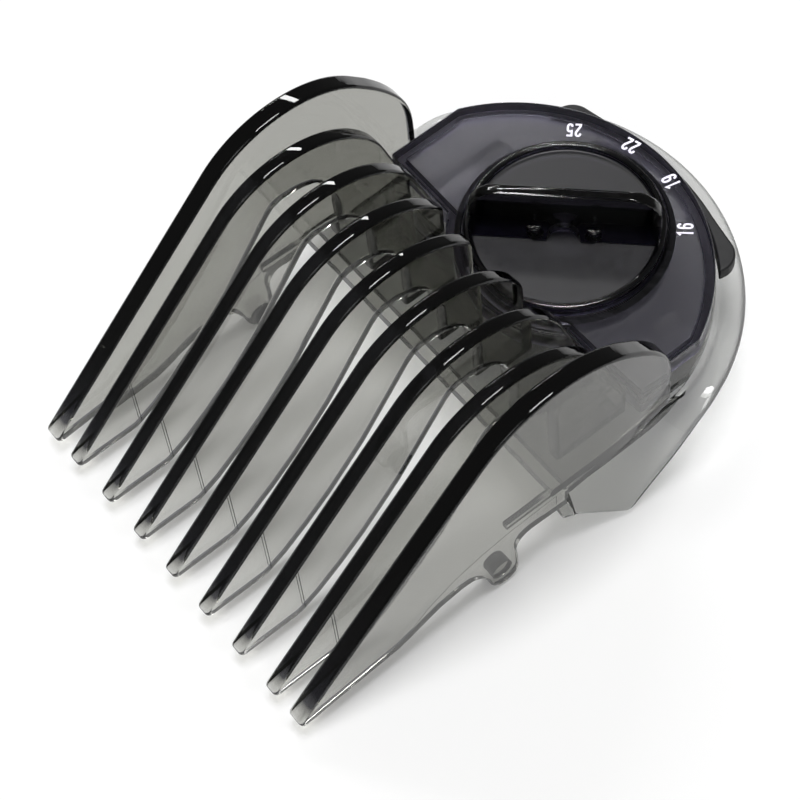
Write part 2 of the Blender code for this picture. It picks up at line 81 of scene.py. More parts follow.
DIAL_TOP, DIAL_LOW, DIAL_RADIUS = 8.0, 5.9, 11.9
DIAL_FLOOR, DIAL_WELL = 7.2, 11.0
HUB_STEP = 4.3
GRIP_ANGLE, GRIP_TOP = 45.0, 14.1
GRIP_REACH, GRIP_CORNER = 11.3, 3.4
GRIP_CROWN, GRIP_FOOT = 0.75, 2.1
HOOK_OFFSET = 3.4

SHEET_TOP, SHEET_OFFSET, SHEET_FRONT_Y = 1.4, 23.6, -20.3
BRIM_INNER, BRIM_CREST, BRIM_OUTER, BRIM_THICKNESS = 22.8, 24.4, 27.55, 1.15
BRIM_CORNER_Y, BRIM_FRONT_Y, STEP_Y = -13.5, -22.6, -20.45

NUMERAL_RADIUS = 14.0
NUMERALS = (("25", -45.0), ("22", -15.5), ("19", 13.5), ("16", 42.5))
STROKE = 0.27
DIGITS = {
    "1": ((-0.28, 0.52), (0.04, 0.86), (0.04, -0.96)),
    "2": ((-0.27, 0.45), (-0.24, 0.68), (-0.1, 0.83), (0.1, 0.83), (0.24, 0.68), (0.27, 0.46),
          (0.2, 0.2), (-0.26, -0.66), (-0.26, -0.83), (0.4, -0.83)),
    "5": ((0.37, 0.83), (-0.22, 0.83), (-0.24, 0.12), (-0.08, 0.22), (0.08, 0.22), (0.22, 0.1),
          (0.27, -0.12), (0.27, -0.5), (0.2, -0.72), (0.05, -0.83), (-0.08, -0.83), (-0.22, -0.72),
          (-0.27, -0.48)),
    "6": ((0.26, 0.5), (0.2, 0.72), (0.06, 0.83), (-0.08, 0.83), (-0.22, 0.7), (-0.27, 0.48),
          (-0.27, -0.5), (-0.2, -0.72), (-0.06, -0.83), (0.06, -0.83), (0.2, -0.72), (0.27, -0.5),
          (0.27, -0.15), (0.2, 0.06), (0.06, 0.14), (-0.08, 0.14), (-0.2, 0.06), (-0.27, -0.1)),
}
DIGITS["9"] = tuple((-x, -y) for x, y in DIGITS["6"])

# --- camera ------------------------------------------------------------------
CAMERA_PLACE = (126.47, -106.20, 251.46)
CAMERA_TURN = (30.147, 3.402, 51.313)       # degrees about X, Y and Z
CAMERA_LENS = 113.04
CAMERA_SHIFT = (-0.01, 0.00125)

# --- stage, in metres and watts ------------------------------------------------
FLOOR_HALF = 1.5
FLOOR_GAP = 0.0001
LIGHT_AIM = (0.0, -0.02, 0.0)
SOFTBOXES = (("top", (0.0, 0.0, 0.60), (0.24, 0.24), 3.1),
             ("key", (-0.434, 0.21, 0.504), (0.35, 0.04), 0.9),
             ("fill", (0.45, -0.35, 0.45), (0.30, 0.30), 0.5))
WORLD_STRENGTH = 0.12
LIGHT_BOUNCES = 24


# --- geometry helpers --------------------------------------------------------
def arc(cx, cy, radius, start, end, steps):
    """Points on a circle between two angles in degrees, both ends included."""
    points = []
    for i in range(steps + 1):
        angle = math.radians(start + (end - start) * i / steps)
        points.append((cx + radius * math.cos(angle), cy + radius * math.sin(angle)))
    return points


def new_piece(name, data):
    """Object around a mesh, camera or light, linked to the scene."""
    piece = bpy.data.objects.new(name, data)
    bpy.context.scene.collection.objects.link(piece)
    return piece


def mesh_from(name, work):
    """Piece from a bmesh, with its normals facing out."""
    bmesh.ops.recalc_face_normals(work, faces=work.faces)
    mesh = bpy.data.meshes.new(name)
    work.to_mesh(mesh)
    work.free()
    return new_piece(name, mesh)


def prism(name, outline, low, high, axis="Z"):
    """Outline pushed along Z, or along X when it is given as (y, z)."""
    work = bmesh.new()
    ends = []
    for level in (low, high):
        places = [(u, v, level) if axis == "Z" else (level, u, v) for u, v in outline]
        ends.append([work.verts.new(Vector(place) * MM) for place in places])
    count = len(outline)
    for i in range(count):
        j = (i + 1) % count
        work.faces.new((ends[0][i], ends[0][j], ends[1][j], ends[1][i]))
    work.faces.new(ends[0][::-1])
    work.faces.new(ends[1])
    return mesh_from(name, work)


def stack(name, loops):
    """Closed solid through a stack of loops that all have the same number of points."""
    work = bmesh.new()
    rows = [[work.verts.new(Vector(place) * MM) for place in loop] for loop in loops]
    count = len(rows[0])
    for lower, upper in zip(rows, rows[1:]):
        for i in range(count):
            j = (i + 1) % count
            work.faces.new((lower[i], lower[j], upper[j], upper[i]))
    work.faces.new(rows[0][::-1])
    work.faces.new(rows[-1])
    return mesh_from(name, work)


def turned(name, rings, x=0.0, y=0.0, sides=128, axis="Z"):
    """Solid of revolution from (radius, height) rings, about a line along Z or X."""
    loops = []
    for radius, height in rings:
        circle = arc(x, y, radius, 0.0, 360.0, sides)[:-1]
        loops.append([(u, v, height) if axis == "Z" else (height, u, v) for u, v in circle])
    return stack(name, loops)


def applied(piece):
    """Replace the piece's mesh with its evaluated one and drop its modifiers."""
    bpy.context.view_layer.update()
    evaluated = piece.evaluated_get(bpy.context.evaluated_depsgraph_get())
    mesh = bpy.data.meshes.new_from_object(evaluated)
    piece.modifiers.clear()
    piece.data = mesh
    return piece


def rounded(piece, width, segments=4, angle=50.0):
    """Bevel on every edge that is sharper than the angle."""
    bevel = piece.modifiers.new("rounding", "BEVEL")
    bevel.width = width * MM
    bevel.segments = segments
    bevel.limit_method = "ANGLE"
    bevel.angle_limit = math.radians(angle)
    bevel.use_clamp_overlap = False
    return applied(piece)


def joined(name, items):
    """One piece that holds the shells of all the items, which are used up."""
    work = bmesh.new()
    for item in items:
        work.from_mesh(item.data)
        bpy.data.objects.remove(item, do_unlink=True)
    mesh = bpy.data.meshes.new(name)
    work.to_mesh(mesh)
    work.free()
    return new_piece(name, mesh)


def combined(piece, operand, operation):
    """Boolean that uses up its operand."""
    modifier = piece.modifiers.new("boolean", "BOOLEAN")
    modifier.operation = operation
    modifier.solver = "EXACT"
    modifier.object = operand
    applied(piece)
    bpy.data.objects.remove(operand, do_unlink=True)
    return piece


def cleaned(piece, distance=0.0015):
    """Merges points and drops slivers that are smaller than the distance."""
    work = bmesh.new()
    work.from_mesh(piece.data)
    bmesh.ops.remove_doubles(work, verts=work.verts, dist=distance * MM)
    bmesh.ops.dissolve_degenerate(work, edges=work.edges, dist=distance * MM)
    work.to_mesh(piece.data)
    work.free()
    return piece


def finished(piece, name, material, body, node, sharp=38.0):
    """Smooth the piece, give it its material, and put it on its body in place of a CAD node."""
    piece.name = name
    piece.data.name = name
    piece.data.materials.clear()
    piece.data.materials.append(material)
    piece.data.polygons.foreach_set("material_index", [0] * len(piece.data.polygons))
    piece.data.shade_smooth()
    piece.data.set_sharp_from_angle(angle=math.radians(sharp))
    weighted = piece.modifiers.new("even_normals", "WEIGHTED_NORMAL")
    weighted.keep_sharp = True
    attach(piece, body)
    if node:
        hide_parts(node)
    return piece


# --- materials ---------------------------------------------------------------
def add_node(tree, kind, **inputs):
    """New node with some of its inputs set; an underscore stands for a space in a name."""
    node = tree.nodes.new(kind)
    for key, value in inputs.items():
        node.inputs[key.replace("_", " ")].default_value = value
    return node


def ramp_between(tree, source, low, high, at_low, at_high):
    """Value that runs from at_low to at_high while the source runs from low to high."""
    ramp = tree.nodes.new("ShaderNodeMapRange")
    ramp.inputs["From Min"].default_value = low
    ramp.inputs["From Max"].default_value = high
    ramp.inputs["To Min"].default_value = at_low
    ramp.inputs["To Max"].default_value = at_high
    tree.links.new(source, ramp.inputs["Value"])
    return ramp.outputs["Result"]


def combine(tree, operation, first, second=None):
    """Output of a Math node that is fed by one or two sockets."""
    node = tree.nodes.new("ShaderNodeMath")
    node.operation = operation
    tree.links.new(first, node.inputs[0])
    if second:
        tree.links.new(second, node.inputs[1])
    return node.outputs["Value"]


def surface_detail(tree, shader, wave_scale, wave_depth, grain_scale, rough_low, rough_high):
    """Slow flow marks and fine handling marks: bump, and a roughness that wanders."""
    place = tree.nodes.new("ShaderNodeTexCoord")
    waves = add_node(tree, "ShaderNodeTexNoise", Scale=wave_scale, Detail=2.0, Roughness=0.45)
    grain = add_node(tree, "ShaderNodeTexNoise", Scale=grain_scale, Detail=5.0, Roughness=0.6)
    tree.links.new(place.outputs["Object"], waves.inputs["Vector"])
    tree.links.new(place.outputs["Object"], grain.inputs["Vector"])
    bump = add_node(tree, "ShaderNodeBump", Strength=1.0, Distance=wave_depth * MM)
    tree.links.new(waves.outputs["Fac"], bump.inputs["Height"])
    tree.links.new(bump.outputs["Normal"], shader.inputs["Normal"])
    spread = ramp_between(tree, grain.outputs["Fac"], 0.35, 0.75, rough_low, rough_high)
    tree.links.new(spread, shader.inputs["Roughness"])


def frosted_below(tree, shader, height, amount):
    """Adds roughness to the faces that lie below a height, such as the underside of a cover."""
    place = tree.nodes.new("ShaderNodeTexCoord")
    parts = tree.nodes.new("ShaderNodeSeparateXYZ")
    tree.links.new(place.outputs["Object"], parts.inputs["Vector"])
    step = ramp_between(tree, parts.outputs["Z"], (height - 0.05) * MM, (height + 0.05) * MM, amount, 0.0)
    total = combine(tree, "ADD", shader.inputs["Roughness"].links[0].from_socket, step)
    tree.links.new(total, shader.inputs["Roughness"])


def paint_edge_shade(material, edge_shade_colour):
    """Painted shade: turns the base colour of the narrow edges of the teeth and walls, but not their tips,
    to near black, for the dark look that tinted clear plastic has through its edges.
    """
    tree = material.node_tree
    shader = tree.nodes["Principled BSDF"]
    place = tree.nodes.new("ShaderNodeTexCoord")
    normal = tree.nodes.new("ShaderNodeSeparateXYZ")
    point = tree.nodes.new("ShaderNodeSeparateXYZ")
    tree.links.new(place.outputs["Normal"], normal.inputs["Vector"])
    tree.links.new(place.outputs["Object"], point.inputs["Vector"])
    sideways = combine(tree, "ABSOLUTE", normal.outputs["X"])       # 1 on the flat sides of a blade
    edge = ramp_between(tree, sideways, 0.86, 0.97, 1.0, 0.0)
    behind_tip = ramp_between(tree, point.outputs["Y"], -58.3 * MM, -56.8 * MM, 0.0, 1.0)
    in_front_of_deck = ramp_between(tree, point.outputs["Y"], -24.5 * MM, -23.5 * MM, 1.0, 0.0)
    above_deck = ramp_between(tree, point.outputs["Z"], 4.5 * MM, 5.5 * MM, 0.0, 1.0)
    blade = combine(tree, "MAXIMUM", in_front_of_deck, above_deck)
    share = combine(tree, "MULTIPLY", combine(tree, "MULTIPLY", edge, behind_tip), blade)
    # Painted shade: this mix paints the dark edge colour into the base colour.
    mix = tree.nodes.new("ShaderNodeMix")
    mix.data_type = "RGBA"
    tree.links.new(share, mix.inputs["Factor"])
    mix.inputs["A"].default_value = (1.0, 1.0, 1.0, 1.0)
    mix.inputs["B"].default_value = (*edge_shade_colour, 1.0)
    tree.links.new(mix.outputs["Result"], shader.inputs["Base Color"])


def clear_plastic(name, tint, density, shade, wave_depth=0.03, rough=(0.0, 0.06), frost=None):
    """Tinted clear moulding: the colour comes from the depth of plastic that light crosses."""
    material = bpy.data.materials.new(name)
    material.use_nodes = True
    tree = material.node_tree
    shader = tree.nodes["Principled BSDF"]
    output = tree.nodes["Material Output"]
    shader.inputs["Base Color"].default_value = (1.0, 1.0, 1.0, 1.0)
    shader.inputs["IOR"].default_value = 1.5
    shader.inputs["Transmission Weight"].default_value = 1.0
    surface_detail(tree, shader, 140.0, wave_depth, 900.0, *rough)
    if frost:
        frosted_below(tree, shader, *frost)
    inside = tree.nodes.new("ShaderNodeVolumeAbsorption")
    inside.inputs["Color"].default_value = (*tint, 1.0)
    inside.inputs["Density"].default_value = density
    tree.links.new(inside.outputs["Volume"], output.inputs["Volume"])
    path = tree.nodes.new("ShaderNodeLightPath")
    pale = tree.nodes.new("ShaderNodeBsdfTransparent")
    pale.inputs["Color"].default_value = (*shade, 1.0)
    mix = tree.nodes.new("ShaderNodeMixShader")
    tree.links.new(path.outputs["Is Shadow Ray"], mix.inputs["Fac"])
    tree.links.new(shader.outputs["BSDF"], mix.inputs[1])
    tree.links.new(pale.outputs["BSDF"], mix.inputs[2])
    tree.links.new(mix.outputs["Shader"], output.inputs["Surface"])
    return material


def solid_finish(name, colour, rough, wave_depth, metallic=0.0):
    """Opaque finish with slight blotches in its colour."""
    material = bpy.data.materials.new(name)
    material.use_nodes = True
    tree = material.node_tree
    shader = tree.nodes["Principled BSDF"]
    shader.inputs["Metallic"].default_value = metallic
    surface_detail(tree, shader, 2200.0, wave_depth, 500.0, *rough)
    blotches = add_node(tree, "ShaderNodeTexNoise", Scale=260.0, Detail=3.0, Roughness=0.5)
    place = tree.nodes.new("ShaderNodeTexCoord")
    tree.links.new(place.outputs["Object"], blotches.inputs["Vector"])
    ramp = tree.nodes.new("ShaderNodeValToRGB")
    ramp.color_ramp.elements[0].color = (*[0.8 * c for c in colour], 1.0)
    ramp.color_ramp.elements[1].color = (*[1.2 * c for c in colour], 1.0)
    ramp.color_ramp.elements[0].position = 0.3
    ramp.color_ramp.elements[1].position = 0.7
    tree.links.new(blotches.outputs["Fac"], ramp.inputs["Fac"])
    tree.links.new(ramp.outputs["Color"], shader.inputs["Base Color"])
    return material


# --- the comb moulding -------------------------------------------------------
def tangent_angle(y, z, cy, cz, radius):
    """Slope in degrees of the line from (y, z) that touches the top of a circle."""
    reach = math.hypot(cy - y, cz - z)
    return math.degrees(math.atan2(cz - z, cy - y) + math.asin(radius / reach))


def ridge_and_tip(cy, cz, radius, rear_angle, steps):
    """Top line from the rear end of the crest arc forward and round the tip."""
    slope = tangent_angle(TIP_Y, TIP_Z, cy, cz, radius - TIP_RADIUS)
    crest = arc(cy, cz, radius, rear_angle, 90.0 + slope, steps)
    tip = arc(TIP_Y, TIP_Z, TIP_RADIUS, 90.0 + slope, 270.0, 14)
    return crest + tip


def tooth_outline():
    """Side view of one inner tooth, as (y, z) points."""
    outline = ridge_and_tip(CREST_Y, CREST_Z, CREST_RADIUS, 20.0, 56)
    outline.append((KNEE_Y - 0.6, TIP_Z - TIP_RADIUS + 0.15))
    outline.append((KNEE_Y, KNEE_Z))
    outline += ARCH
    foot = (DECK_LOW + DECK_HIGH) / 2
    outline.append((ARCH[-1][0], foot))
    outline.append((LEG_REAR_Y, foot))
    outline.append((LEG_REAR_Y, PLATE_TOP))
    return outline


def wall_outline():
    """Side view of one side wall, with the peg lobe on its lower edge."""
    outline = [(WALL_REAR_Y, 3.65), (WALL_REAR_Y, 8.0), (-4.88, 10.0), (-5.0, 11.4), (-5.25, 12.7),
               (-5.6, 13.9), (-6.1, 15.05), (-6.75, 16.2), (-7.55, 17.4), (-8.5, 18.6), (-9.5, 19.75)]
    outline += ridge_and_tip(WALL_CREST_Y, WALL_CREST_Z, WALL_CREST_RADIUS, 47.0, 56)
    outline += [(-45.7, -5.0), (-43.6, -4.3), (-41.5, -3.4), (-39.5, -2.6), (-37.6, -2.3)]
    outline += [(-36.2, -2.15), (-34.9, -2.3), (-33.9, -3.0), (-33.2, -3.9), (-32.7, -5.0)]
    outline += arc(LOBE_Y, LOBE_Z, LOBE_RADIUS, 190.0, 350.0, 22)
    outline += [(-28.15, -4.5), (-28.3, -2.2), (-28.1, -1.3), (-27.6, -0.6), (-26.9, -0.25)]
    outline += [(-26.2, -0.12), (-20.7, -0.5), (-20.7, 1.6), (-5.4, 3.65)]
    return outline


def bent_inwards(wall, side):
    """The rear part of each side wall leans in towards the dial plate."""
    work = bmesh.new()
    work.from_mesh(wall.data)
    for k in range(12):
        geometry = work.verts[:] + work.edges[:] + work.faces[:]
        bmesh.ops.bisect_plane(work, geom=geometry, plane_co=(0.0, (BEND_FRONT_Y + k) * MM, 0.0),
                               plane_no=(0.0, 1.0, 0.0))
    bmesh.ops.triangulate(work, faces=[face for face in work.faces if len(face.verts) > 4])
    for vertex in work.verts:
        share = max(vertex.co.y / MM - BEND_FRONT_Y, 0.0) / (WALL_REAR_Y - BEND_FRONT_Y)
        vertex.co.x -= side * BEND * MM * share ** 2
    work.to_mesh(wall.data)
    work.free()
    return wall


def rear_outline(half_width, radius, front_y, steps):
    """Straight front and sides, and an arc at the rear."""
    corner = math.degrees(math.acos(half_width / radius))
    outline = [(-half_width, front_y), (half_width, front_y)]
    return outline + arc(0.0, REAR_CENTRE_Y, radius, corner, 180.0 - corner, steps)


def guide_hook(side):
    """T-shaped hook under the deck that runs in the saddle's slot."""
    section = [(-1.5, 0.05), (1.5, 0.05), (1.5, 0.45), (0.6, 0.45), (0.6, 2.6), (-0.6, 2.6),
               (-0.6, 0.45), (-1.5, 0.45)]
    loops = []
    for y in (0.0, HOOK_BACK_Y):
        loops.append([(side * HOOK_X + x, y, z) for x, z in section])
    return stack("hook", loops)


def tip_lines():
    """Fine lines across both sides of every tooth, where the mould's tip insert ends."""
    lines = []
    first = -(TOOTH_COUNT - 1) / 2 * TOOTH_PITCH
    for i in range(TOOTH_COUNT):
        x = first + i * TOOTH_PITCH
        for side in (-1, 1):
            face = x + side * TOOTH / 2
            outline = [(face - side * 0.07, STEP_LINE_Y), (face + side * 0.3, STEP_LINE_Y - 0.25),
                       (face + side * 0.3, STEP_LINE_Y + 0.25)]
            lines.append(prism("line", outline, -9.0, 6.0))
    return joined("lines", lines)


def lip_relief(inner_face):
    """Shallow step inside each side wall, along a line a little above its lower edge."""
    line = [(-52.0, -9.6), (-43.7, -4.3), (-40.6, -2.0), (-37.0, -0.2), (-33.3, 0.8), (-28.9, 1.5)]
    outline = line + [(-22.0, 1.7), (-22.0, -12.0), (-52.0, -12.0)]
    cuts = []
    for side in (-1, 1):
        low, high = sorted((side * (inner_face - 0.5), side * (inner_face + 0.18)))
        cuts.append(prism("relief", outline, low, high, "X"))
    return joined("reliefs", cuts)


def spring_pocket():
    """Room in the deck for the click spring."""
    half = [(8.8, 12.6), (8.8, 11.9), (7.2, 12.3), (6.2, 10.5)]
    far = [(2.7, 14.85), (5.7, 14.25)]
    outline = far + half + [(-x, y) for x, y in (far + half)[::-1]]
    return prism("pocket", outline, 2.4, DECK_HIGH + 1.0)


def make_comb(material):
    low_corner, high_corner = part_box("comb_body")
    half_width = high_corner[0] / MM
    inner_face = half_width - WALL
    walls = []
    for side, low in ((-1, -half_width), (1, inner_face)):
        wall = prism("wall", wall_outline(), low, low + WALL, "X")
        walls.append(bent_inwards(rounded(wall, 0.45), side))
    comb = joined("comb", walls)
    combined(comb, lip_relief(inner_face), "DIFFERENCE")
    deck = prism("deck", rear_outline(inner_face + 0.2, DECK_ARC, DECK_FRONT_Y, 96), DECK_LOW, DECK_HIGH)
    combined(comb, deck, "UNION")
    first = -(TOOTH_COUNT - 1) / 2 * TOOTH_PITCH
    teeth = []
    for i in range(TOOTH_COUNT):
        x = first + i * TOOTH_PITCH
        tooth = prism("tooth", tooth_outline(), x - TOOTH / 2, x + TOOTH / 2, "X")
        teeth.append(rounded(tooth, 0.45))
    teeth = joined("teeth", teeth)
    combined(teeth, tip_lines(), "DIFFERENCE")
    combined(comb, teeth, "UNION")
    fittings = []
    for side in (-1, 1):
        face = side * inner_face
        low, high = sorted((face + side * 0.6, face - side * PEG_LENGTH))
        peg = turned("peg", [(PEG_RADIUS, low), (PEG_RADIUS, high)], LOBE_Y, LOBE_Z, 40, "X")
        fittings.append(rounded(peg, 0.25, 3))
        low, high = sorted((face + side * 0.4, face - side * 0.7))
        rail = [(RAIL_FRONT_Y, 2.4), (DECK_FRONT_Y + 0.5, 2.4), (DECK_FRONT_Y + 0.5, 3.4),
                (RAIL_FRONT_Y, 3.4)]
        fittings.append(prism("rail", rail, low, high, "X"))
        fittings.append(guide_hook(side))
    combined(comb, joined("fittings", fittings), "UNION")
    combined(comb, turned("opening", [(CAM_HOLE, 0.0), (CAM_HOLE, 5.0)]), "DIFFERENCE")
    clearance = BULGE_RADIUS + 0.4
    combined(comb, turned("clearance", [(clearance, DECK_HIGH), (clearance, 30.0)]), "DIFFERENCE")
    combined(comb, spring_pocket(), "DIFFERENCE")
    return finished(cleaned(comb), "comb_moulding", material, "root", "comb_body")


# --- the numbered plate ------------------------------------------------------
def plate_outline(inset, steps=1):
    """Outline of the plate: bulge round the dial, straight front and sides, arc at the rear."""
    half = PLATE_HALF_WIDTH - inset
    front = PLATE_FRONT_Y + inset
    bulge = BULGE_RADIUS - inset
    rear = PLATE_ARC - inset
    meet = math.degrees(math.asin(front / bulge))
    corner = math.degrees(math.acos(half / rear))
    outline = arc(0.0, 0.0, bulge, -180.0 - meet, meet, 28 * steps)
    outline.append((half, front + FRONT_RAKE))
    outline += arc(0.0, REAR_CENTRE_Y, rear, corner, 180.0 - corner, 40 * steps)
    outline.append((-half, front + FRONT_RAKE))
    return outline


def make_plate(material):
    plate = prism("plate", plate_outline(0.0, 3), PLATE_LOW, PLATE_TOP)
    hollow = prism("hollow", plate_outline(PLATE_RIM, 3), PLATE_LOW - 1.0, PLATE_TOP - PLATE_SHEET)
    ring = turned("ring", [(DIAL_RECESS + 0.6, PLATE_LOW - 2.0), (DIAL_RECESS + 0.6, PLATE_TOP + 1.0)])
    combined(hollow, ring, "DIFFERENCE")
    combined(plate, hollow, "DIFFERENCE")
    combined(plate, turned("recess", [(DIAL_RECESS, RECESS_FLOOR), (DIAL_RECESS, 9.0)]), "DIFFERENCE")
    combined(plate, turned("cam_room", [(CAM_HOLE, 3.0), (CAM_HOLE, 4.4)]), "DIFFERENCE")
    combined(plate, turned("hub", [(HUB_HOLE, 3.0), (HUB_HOLE, 9.0)], sides=64), "DIFFERENCE")
    rounded(plate, 0.22, 3, 60.0)
    return finished(cleaned(plate), "numbered_plate", material, "root", "dial_plate")


def ribbon(line, width, shift, low, high):
    """Flat stroke of even width along a line, with mitred corners."""
    left, right = [], []
    for i, (x, y) in enumerate(line):
        (x0, y0), (x1, y1) = line[max(i - 1, 0)], line[min(i + 1, len(line) - 1)]
        before, after = math.atan2(y - y0, x - x0), math.atan2(y1 - y, x1 - x)
        before = after if i == 0 else before
        after = before if i == len(line) - 1 else after
        half_turn = math.atan2(math.sin(after - before), math.cos(after - before)) / 2
        reach = width / 2 / max(math.cos(half_turn), 0.6)
        across = before + half_turn + math.pi / 2
        left.append((shift + x + reach * math.cos(across), y + reach * math.sin(across)))
        right.append((shift + x - reach * math.cos(across), y - reach * math.sin(across)))
    return prism("stroke", left + right[::-1], low, high)


def make_numerals(material):
    """The four printed lengths, each turned to read from the dial."""
    for text, angle in NUMERALS:
        strokes = []
        for shift, digit in zip((-0.5, 0.5), text):
            strokes.append(ribbon(DIGITS[digit], STROKE, shift, PLATE_TOP + 0.005, PLATE_TOP + 0.035))
        piece = joined("numeral_" + text, strokes)
        bearing = math.radians(angle)
        place = Vector((math.sin(bearing), math.cos(bearing), 0.0)) * NUMERAL_RADIUS * MM
        piece.data.transform(Matrix.Translation(place) @ Matrix.Rotation(math.pi - bearing, 4, "Z"))
        piece.data.materials.append(material)
        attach(piece, "root")


# --- the dial ----------------------------------------------------------------
def rounded_rectangle(half_length, half_width, corner, z, steps=6):
    """Level loop of points round a rectangle with arcs at its corners."""
    corner = min(corner, half_width, half_length)
    loop = []
    for quarter, (sx, sy) in enumerate(((1, 1), (-1, 1), (-1, -1), (1, -1))):
        cx, cy = sx * (half_length - corner), sy * (half_width - corner)
        for x, y in arc(cx, cy, corner, 90.0 * quarter, 90.0 * quarter + 90.0, steps):
            loop.append((x, y, z))
    return loop


def grip_loops():
    """Bar across the dial: flared foot, concave flanks, rounded ends and a narrow crown."""
    loops = []
    foot_z = DIAL_FLOOR - 0.3
    levels = 40
    for i in range(levels + 1):
        t = i / levels
        z = foot_z + (GRIP_TOP - foot_z) * t
        rise = min(max((z - DIAL_FLOOR) / (GRIP_TOP - DIAL_FLOOR), 0.0), 1.0)
        width = GRIP_CROWN + (GRIP_FOOT - GRIP_CROWN) * (1.0 - rise) ** 2.4
        reach = GRIP_REACH
        over = z - (GRIP_TOP - GRIP_CORNER)
        if over > 0.0:
            reach -= GRIP_CORNER - math.sqrt(max(GRIP_CORNER ** 2 - over ** 2, 0.0))
        crown = GRIP_TOP - z
        if crown < 0.3:
            width -= 0.3 - math.sqrt(max(0.09 - (0.3 - crown) ** 2, 0.0))
        loops.append(rounded_rectangle(reach, width, 0.45, z))
    return loops


def pointer_bead():
    """Raised loop on the crown of the bar, at the end that points to the length."""
    outer = rounded_rectangle(4.0, 0.52, 0.5, 0.0)
    inner = rounded_rectangle(3.83, 0.35, 0.34, 0.0)
    middle = 3.7
    work = bmesh.new()
    rows = []
    for loop, z in ((outer, GRIP_TOP - 0.1), (outer, GRIP_TOP + 0.1), (inner, GRIP_TOP + 0.1),
                    (inner, GRIP_TOP - 0.1)):
        rows.append([work.verts.new(Vector((x + middle, y, z)) * MM) for x, y, _ in loop])
    count = len(outer)
    for first, second in zip(rows, rows[1:] + rows[:1]):
        for i in range(count):
            j = (i + 1) % count
            work.faces.new((first[i], first[j], second[j], second[i]))
    return mesh_from("pointer", work)


def make_dial(material):
    edge = [(DIAL_RADIUS - 0.25, DIAL_LOW), (DIAL_RADIUS, DIAL_LOW + 0.25)]
    edge += [(DIAL_RADIUS - 0.4 + 0.4 * math.cos(a), DIAL_TOP - 0.4 + 0.4 * math.sin(a))
             for a in [math.radians(15.0 * k) for k in range(7)]]
    well = [(DIAL_WELL + 0.3 - 0.3 * math.sin(a), DIAL_TOP - 0.3 + 0.3 * math.cos(a))
            for a in [math.radians(15.0 * k) for k in range(7)]]
    well += [(DIAL_WELL - 0.25 + 0.25 * math.cos(a), DIAL_FLOOR + 0.25 - 0.25 * math.sin(a))
             for a in [math.radians(18.0 * k) for k in range(6)]]
    dial = turned("dial", edge + well + [(0.6, DIAL_FLOOR)], sides=160)
    under = turned("under", [(10.6, DIAL_LOW - 1.0), (10.6, DIAL_FLOOR - 0.85)], sides=96)
    combined(dial, under, "DIFFERENCE")
    step = [(HUB_STEP - 0.25, DIAL_FLOOR - 0.22), (HUB_STEP - 0.1, DIAL_FLOOR - 0.17), (HUB_STEP, 9.0)]
    combined(dial, turned("hub_step", step, sides=96), "DIFFERENCE")
    turn = Matrix.Rotation(math.radians(GRIP_ANGLE), 4, "Z")
    grip = stack("grip", grip_loops())
    sockets = []
    for side in (-1, 1):
        dome = [(2.1 * math.cos(a), 8.6 + 1.5 * math.sin(a))
                for a in [math.radians(15.0 * k) for k in range(6)]]
        sockets.append(turned("socket", [(2.1, DIAL_FLOOR - 1.0)] + dome, 0.0, side * 2.65, 48))
    combined(grip, joined("sockets", sockets), "DIFFERENCE")
    grip.data.transform(turn)
    combined(dial, grip, "UNION")
    bead = pointer_bead()
    bead.data.transform(turn)
    combined(dial, bead, "UNION")
    fittings = []
    for side in (-1, 1):
        for edge in (-1, 1):
            boss = turned("boss", [(0.95, DIAL_FLOOR - 0.2), (0.95, DIAL_FLOOR + 1.7),
                                   (0.80, DIAL_FLOOR + 1.85)], side * 3.5, edge * 1.15, 32)
            boss.data.transform(turn)
            fittings.append(boss)
        hook = turned("hook", [(0.9, 2.0), (1.55, 2.5), (1.55, 2.6), (1.0, 2.65), (1.0, DIAL_FLOOR - 0.3)],
                      side * HOOK_OFFSET, 0.0, 32)
        hook.data.transform(turn)
        fittings.append(hook)
    combined(dial, joined("fittings", fittings), "UNION")
    gate = turned("gate", [(0.95, DIAL_FLOOR - 0.1), (0.95, DIAL_FLOOR + 0.06), (0.6, DIAL_FLOOR + 0.06),
                           (0.6, DIAL_FLOOR - 0.1)], -5.7, -5.6, 32)
    combined(dial, gate, "UNION")
    return finished(cleaned(dial), "dial", material, "dial", "dial_knob")


# --- the saddle --------------------------------------------------------------
def brim_edge_height(y):
    """Height of the brim's outer edge."""
    if y > BRIM_CORNER_Y:
        return DIAL_TOP - 6.3 - 0.1726 * max(2.0 - y, 0.0) ** 1.47
    fall = (BRIM_CORNER_Y - y) / (BRIM_CORNER_Y - BRIM_FRONT_Y)
    return DIAL_TOP - 16.0 + 6.9 * fall


def brim_crest_height(y):
    """Height of the brim's upper line, next to the sheet."""
    if y < STEP_Y:
        return -1.3
    if y < -5.0:
        return 1.2 + (y - STEP_Y) * 2.1 / 15.5
    return max(1.9, 3.3 - (y + 5.0) * 0.38)


def eased(height, y, reach):
    """Average of a height along the brim, which rounds its corners."""
    steps = 8
    return sum(height(y + reach * (2.0 * k / steps - 1.0)) for k in range(steps + 1)) / (steps + 1)


